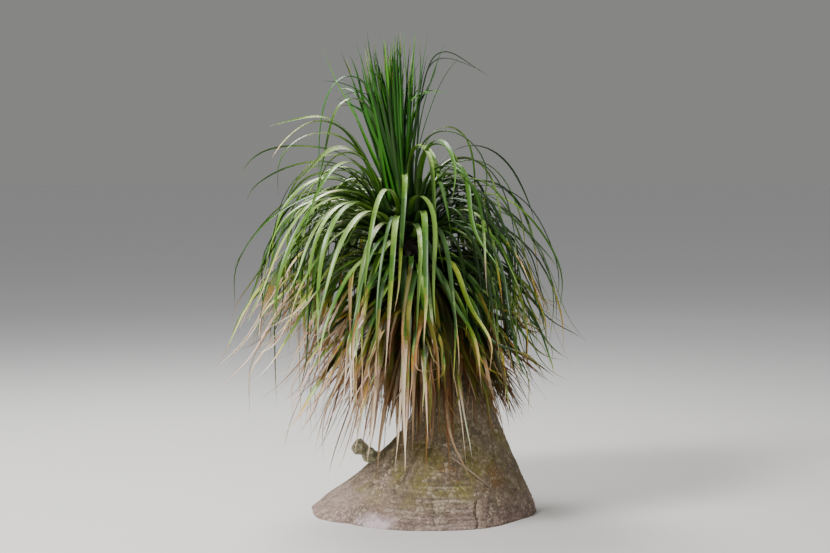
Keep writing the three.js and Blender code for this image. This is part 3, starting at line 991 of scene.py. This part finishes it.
def make_trunk(material):
    """The trunk with the relief of its bark, flat at the ground. Its rows lie closest on the foot."""
    share = np.linspace(0, 1, TRUNK_ROWS)
    heights = TRUNK_HEIGHT * (0.4 * share + 0.6 * share**3.2)
    turns = np.linspace(0, math.tau, TRUNK_COLUMNS, endpoint=False)
    radius, middle_x, middle_y = trunk_at(heights)
    rows = []
    for row, height in enumerate(heights):
        swell = 1 + foot_swell(turns, height)
        x = np.cos(turns) * radius[row] * swell + middle_x[row]
        y = np.sin(turns) * radius[row] * swell + middle_y[row]
        spots = [(a, b, height) for a, b in zip(x, y)]
        out = np.array([bark_relief(*spot) + toe_relief(*spot) - crack_depth(*spot) for spot in spots])
        x = x + np.cos(turns) * out
        y = y + np.sin(turns) * out
        rows.append(np.stack((x, y, np.full_like(x, height)), axis=1))
    top = rows[-1]
    centre = top.mean(axis=0)
    for shrink, rise in ((0.75, 0.012), (0.4, 0.02), (0.02, 0.023)):
        rows.append(centre + (top - centre) * shrink + np.array((0, 0, rise)))
    foot = rows[0]
    centre = foot.mean(axis=0)
    below = [centre + (foot - centre) * shrink for shrink in (0.02, 0.5)]
    rows = below + rows
    made = mesh_object("bark_trunk", np.vstack(rows), tube_faces(len(rows), TRUNK_COLUMNS), [material])
    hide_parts("trunk")
    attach(made, "root")


def tube_faces(rows, columns):
    """The faces between rows of points that each go once round, and one over the first and the last row."""
    row = np.arange(rows - 1)[:, None] * columns
    column = np.arange(columns)[None, :]
    after = (column + 1) % columns
    above = row + columns
    around = np.stack((row + column, row + after, above + after, above + column), axis=2).reshape(-1, 4)
    last = (rows - 1) * columns
    return around.tolist() + [list(reversed(range(columns))), list(range(last, last + columns))]


def add_node(tree, kind, inputs=None, **settings):
    """A node with its settings, and its inputs set to values or linked to other nodes' outputs."""
    made = tree.nodes.new(kind)
    for name, value in settings.items():
        setattr(made, name, value)
    for key, value in (inputs or {}).items():
        if isinstance(value, bpy.types.NodeSocket):
            tree.links.new(value, made.inputs[key])
        else:
            made.inputs[key].default_value = value
    return made


def ramp(tree, factor, low, high, start=0.0, end=1.0):
    """start below low, end above high, and a straight run between them."""
    limits = {"From Min": low, "From Max": high, "To Min": start, "To Max": end}
    return add_node(tree, "ShaderNodeMapRange", {"Value": factor, **limits}).outputs[0]


def math_node(tree, operation, first, second):
    return add_node(tree, "ShaderNodeMath", {0: first, 1: second}, operation=operation).outputs[0]


def scaled(tree, vector, scale):
    return add_node(tree, "ShaderNodeMapping", {"Vector": vector, "Scale": scale}).outputs[0]


def noise_at(tree, where, scale, detail=5.0):
    inputs = {"Vector": where, "Scale": scale, "Detail": detail}
    return add_node(tree, "ShaderNodeTexNoise", inputs).outputs[0]


def vector_node(tree, operation, inputs):
    return add_node(tree, "ShaderNodeVectorMath", inputs, operation=operation)


def wandering(tree, where, scale, amount):
    """The place moved about by noise, so that the pattern laid on it runs crooked."""
    moved = add_node(tree, "ShaderNodeTexNoise", {"Vector": where, "Scale": scale, "Detail": 4.0}).outputs[1]
    centred = vector_node(tree, "SUBTRACT", {0: moved, 1: (0.5, 0.5, 0.5)}).outputs[0]
    grown = vector_node(tree, "SCALE", {0: centred, "Scale": amount}).outputs[0]
    return vector_node(tree, "ADD", {0: where, 1: grown}).outputs[0]


def cracks(tree, where, scale, width):
    """1 on the borders of the cells of a crackle, falling to 0 within a width."""
    inputs = {"Vector": where, "Scale": scale}
    cells = add_node(tree, "ShaderNodeTexVoronoi", inputs, feature="DISTANCE_TO_EDGE")
    return ramp(tree, cells.outputs["Distance"], 0.0, width, 1.0, 0.0)


def patch_near(tree, where, centre, radius, roughly):
    """A patch that is full at a point and gone at a radius, with a rim that noise makes uneven."""
    away = vector_node(tree, "DISTANCE", {0: where, 1: centre}).outputs["Value"]
    near = ramp(tree, away, 0.0, radius, 1.0, 0.0)
    return ramp(tree, math_node(tree, "MULTIPLY", near, roughly), 0.16, 0.4)


def coat(tree, colour, tone, mask, amount=1.0):
    """The colour with a tone laid over it where a mask is full, at most by an amount."""
    inputs = {0: math_node(tree, "MULTIPLY", mask, amount), 6: colour, 7: srgb(*TONES[tone])}
    return add_node(tree, "ShaderNodeMix", inputs, data_type="RGBA").outputs[2]


def pebbled(tree, colour, crooked, amount):
    """The colour with a lighter or darker tone in each pebble of the bark, and dark gaps between them."""
    cells = add_node(tree, "ShaderNodeTexVoronoi", {"Vector": crooked, "Scale": PEBBLE_SCALE})
    tones = add_node(tree, "ShaderNodeSeparateColor", {0: cells.outputs["Color"]}).outputs[0]
    colour = coat(tree, colour, "pale_pebble", ramp(tree, tones, 0.55, 1.0), amount)
    colour = coat(tree, colour, "dark_pebble", ramp(tree, tones, 0.0, 0.4, 1.0, 0.0), amount)
    return coat(tree, colour, "pebble_gap", cracks(tree, crooked, PEBBLE_SCALE, 0.2), amount)


def mossy(tree, colour, where, height, patches):
    """The colour with moss over the middle of the foot, and three orange-brown stains."""
    moss_noise = noise_at(tree, where, 11.0, 8.0)
    middle = patch_near(tree, where, (0.02, -0.36, 0.16), 0.5, patches)
    moss = math_node(tree, "ADD", moss_noise, math_node(tree, "MULTIPLY", middle, 0.16))
    moss = math_node(tree, "MULTIPLY", ramp(tree, moss, 0.5, 0.7), ramp(tree, height, 0.04, 0.12))
    colour = coat(tree, colour, "moss", moss, 0.8)
    for centre, radius in STAINS:
        colour = coat(tree, colour, "stain", patch_near(tree, where, centre, radius, moss_noise), 0.65)
    return colour


def banded(tree, colour, where):
    """The colour with the level bands that cross the foot low on its front."""
    bands = noise_at(tree, scaled(tree, where, (5, 5, 95)), 1.0, 3.0)
    place = patch_near(tree, where, (0.06, -0.42, 0.06), 0.34, 0.6)
    colour = coat(tree, colour, "dark_band", ramp(tree, bands, 0.36, 0.48, 0.6, 0.0), place)
    return coat(tree, colour, "pale_band", ramp(tree, bands, 0.54, 0.66, 0.0, 0.5), place)


def bark_material():
    """Grey-beige bark: pebbles and broken fissures, moss over the foot, mauve-grey towards the ground."""
    material, tree, shader = new_material("bark")
    where = add_node(tree, "ShaderNodeTexCoord").outputs["Object"]
    height = add_node(tree, "ShaderNodeSeparateXYZ", {0: where}).outputs["Z"]
    crooked = wandering(tree, where, 12.0, 0.05)
    patches = noise_at(tree, where, 7.0)
    mottle = noise_at(tree, where, 34.0, 7.0)
    grain = noise_at(tree, scaled(tree, where, (1, 1, 0.5)), 170.0)
    broken = ramp(tree, noise_at(tree, where, 9.0), 0.4, 0.6)

    colour = coat(tree, srgb(*TONES["grey_brown"]), "beige", ramp(tree, patches, 0.36, 0.64))
    colour = coat(tree, colour, "pale_mottle", ramp(tree, mottle, 0.5, 0.68, 0.0, 0.6))
    colour = coat(tree, colour, "dark_mottle", ramp(tree, mottle, 0.34, 0.46, 0.6, 0.0))
    low = math_node(tree, "SUBTRACT", height, math_node(tree, "MULTIPLY", patches, 0.16))
    colour = coat(tree, colour, "near_ground", ramp(tree, low, -0.05, 0.06, 0.7, 0.0))
    left_side = patch_near(tree, where, (-0.36, -0.22, 0.08), 0.42, patches)
    colour = coat(tree, colour, "left_side", left_side, 0.6)
    # Painted light: the top of the foot is made paler where the crown's shadow would darken it.
    colour = coat(tree, colour, "painted_light_shoulder", ramp(tree, height, 0.16, 0.32, 0.0, 0.4))
    colour = mossy(tree, colour, where, height, patches)
    colour = pebbled(tree, colour, crooked, ramp(tree, broken, 0.0, 1.0, 0.3, 0.62))
    colour = banded(tree, colour, where)
    toe = patch_near(tree, scaled(tree, where, (1, 1, 2.4)), (-0.21, -0.41, 0.03), 0.17, mottle)
    colour = coat(tree, colour, "toe", toe, 0.85)

    fissures = cracks(tree, scaled(tree, crooked, (1, 1, 0.5)), 26.0, 0.05)
    colour = coat(tree, colour, "fissure", math_node(tree, "MULTIPLY", fissures, broken), 0.6)
    spots = add_node(tree, "ShaderNodeTexVoronoi", {"Vector": where, "Scale": 62.0}).outputs["Distance"]
    specks = ramp(tree, spots, 0.12, 0.26, 0.6, 0.0)
    colour = coat(tree, colour, "speck", specks, ramp(tree, mottle, 0.5, 0.58))
    colour = coat(tree, colour, "grain", ramp(tree, grain, 0.35, 0.6, 0.4, 0.0))
    # Painted shade: the trunk darkens to near black up under the crown.
    colour = coat(tree, colour, "painted_shade_under_leaves", ramp(tree, height, 0.42, 0.66, 0.0, 0.94))
    colour = coat(tree, colour, "leaf_base", ramp(tree, height, 1.16, 1.23))
    tree.links.new(colour, shader.inputs["Base Color"])

    tree.links.new(ramp(tree, mottle, 0.3, 0.7, 0.82, 0.97), shader.inputs["Roughness"])
    raised = math_node(tree, "SUBTRACT", 1.0, cracks(tree, crooked, PEBBLE_SCALE, 0.2))
    first = add_node(tree, "ShaderNodeBump", {"Height": raised, "Strength": 0.6, "Distance": 0.003})
    second_inputs = {"Height": grain, "Strength": 0.6, "Distance": 0.002, "Normal": first.outputs[0]}
    second = add_node(tree, "ShaderNodeBump", second_inputs)
    tree.links.new(second.outputs[0], shader.inputs["Normal"])
    return material


def stub_material():
    """The stub's dry wood: pale grey-green, darker and paler in fine flecks that follow a noise."""
    material, tree, shader = new_material("stub_wood")
    where = add_node(tree, "ShaderNodeTexCoord").outputs["Object"]
    grain = noise_at(tree, where, 120.0)
    broad = ramp(tree, noise_at(tree, where, 40.0), 0.38, 0.6)
    colour = coat(tree, srgb(*TONES["stub_dark"]), "stub_pale", broad)
    # Darker and paler flecks where a fine noise is high or low.
    colour = coat(tree, colour, "stub_dark_fleck", ramp(tree, grain, 0.54, 0.68, 0.0, 0.7))
    colour = coat(tree, colour, "stub_bright", ramp(tree, grain, 0.34, 0.44, 0.6, 0.0))
    tree.links.new(colour, shader.inputs["Base Color"])
    shader.inputs["Roughness"].default_value = 0.9
    rough = add_node(tree, "ShaderNodeBump", {"Height": grain, "Strength": 0.9, "Distance": 0.004})
    tree.links.new(rough.outputs[0], shader.inputs["Normal"])
    return material


def make_stub(material):
    """The broken offshoot: a knobbly stub, thickest round its two knuckles, closed by a rounded end."""
    root, bend, tip = (np.array(point) for point in STUB_LINE)
    share = np.linspace(0, 1, STUB_ROWS)
    line = np.outer((1 - share) ** 2, root) + np.outer(2 * share * (1 - share), bend)
    line += np.outer(share**2, tip)
    along = unit(np.gradient(line, axis=0))
    side = unit(np.cross(along, (0, 0, 1)))
    over = np.cross(along, side)
    places, radii = zip(*STUB_RADII)
    rounding = np.clip((share - 0.94) / 0.06, 0, 1)
    radius = np.interp(share, places, radii) * np.sqrt(np.clip(1 - rounding**2, 0.01, 1))
    turns = np.linspace(0, math.tau, STUB_SIDES, endpoint=False)
    out = np.cos(turns)[None, :, None] * side[:, None] + np.sin(turns)[None, :, None] * over[:, None]
    points = line[:, None] + out * radius[:, None, None]
    broad = np.array([[noise.noise(Vector(point * 32)) for point in ring] for ring in points])
    fine = np.array([[noise.noise(Vector(point * 110)) for point in ring] for ring in points])
    points += out * (broad * STUB_LUMPS + fine * STUB_GRAIN)[:, :, None]
    faces = tube_faces(STUB_ROWS, STUB_SIDES)
    made = mesh_object("broken_offshoot", points.reshape(-1, 3), faces, [material])
    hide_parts("side_stub")
    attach(made, "root")


def add_aimed(name, data, place, aim):
    """An object that stands at a place and looks at a point."""
    made = add_object(name, data)
    made.location = place
    made.rotation_euler = (Vector(aim) - made.location).to_track_quat("-Z", "Y").to_euler()
    return made


def make_camera():
    """A camera where the photographer stood, with a longer lens that fills the frame with this one plant."""
    data = bpy.data.cameras.new("camera")
    data.lens = CAMERA_LENS
    bpy.context.scene.camera = add_aimed("camera", data, CAMERA_PLACE, CAMERA_AIM)


def make_light():
    for name, place, aim, size, power in LIGHTS:
        data = bpy.data.lights.new(name, "AREA")
        data.size = size
        data.energy = power
        add_aimed(name, data, place, aim)
    world = bpy.data.worlds.new("world")
    bpy.context.scene.world = world
    world.use_nodes = True
    sky = world.node_tree.nodes["Background"]
    sky.inputs[0].default_value = srgb(*SKY)
    sky.inputs[1].default_value = SKY_STRENGTH


def make_floor():
    """A plain pale floor, paler far away so that it meets the background softly."""
    corners = FLOOR_REACH * np.array(((-1, -1, 0), (1, -1, 0), (1, 1, 0), (-1, 1, 0)))
    material, tree, shader = new_material("floor")
    where = add_node(tree, "ShaderNodeTexCoord").outputs["Object"]
    away = vector_node(tree, "LENGTH", {0: where}).outputs["Value"]
    colour = coat(tree, srgb(*TONES["floor"]), "far_floor", ramp(tree, away, 2.0, 9.0))
    tree.links.new(colour, shader.inputs["Base Color"])
    shader.inputs["Roughness"].default_value = 0.9
    floor = mesh_object("floor", corners, [(0, 1, 2, 3)], [material])


make_camera()
make_light()
make_floor()
make_trunk(bark_material())
make_stub(stub_material())
make_leaves()
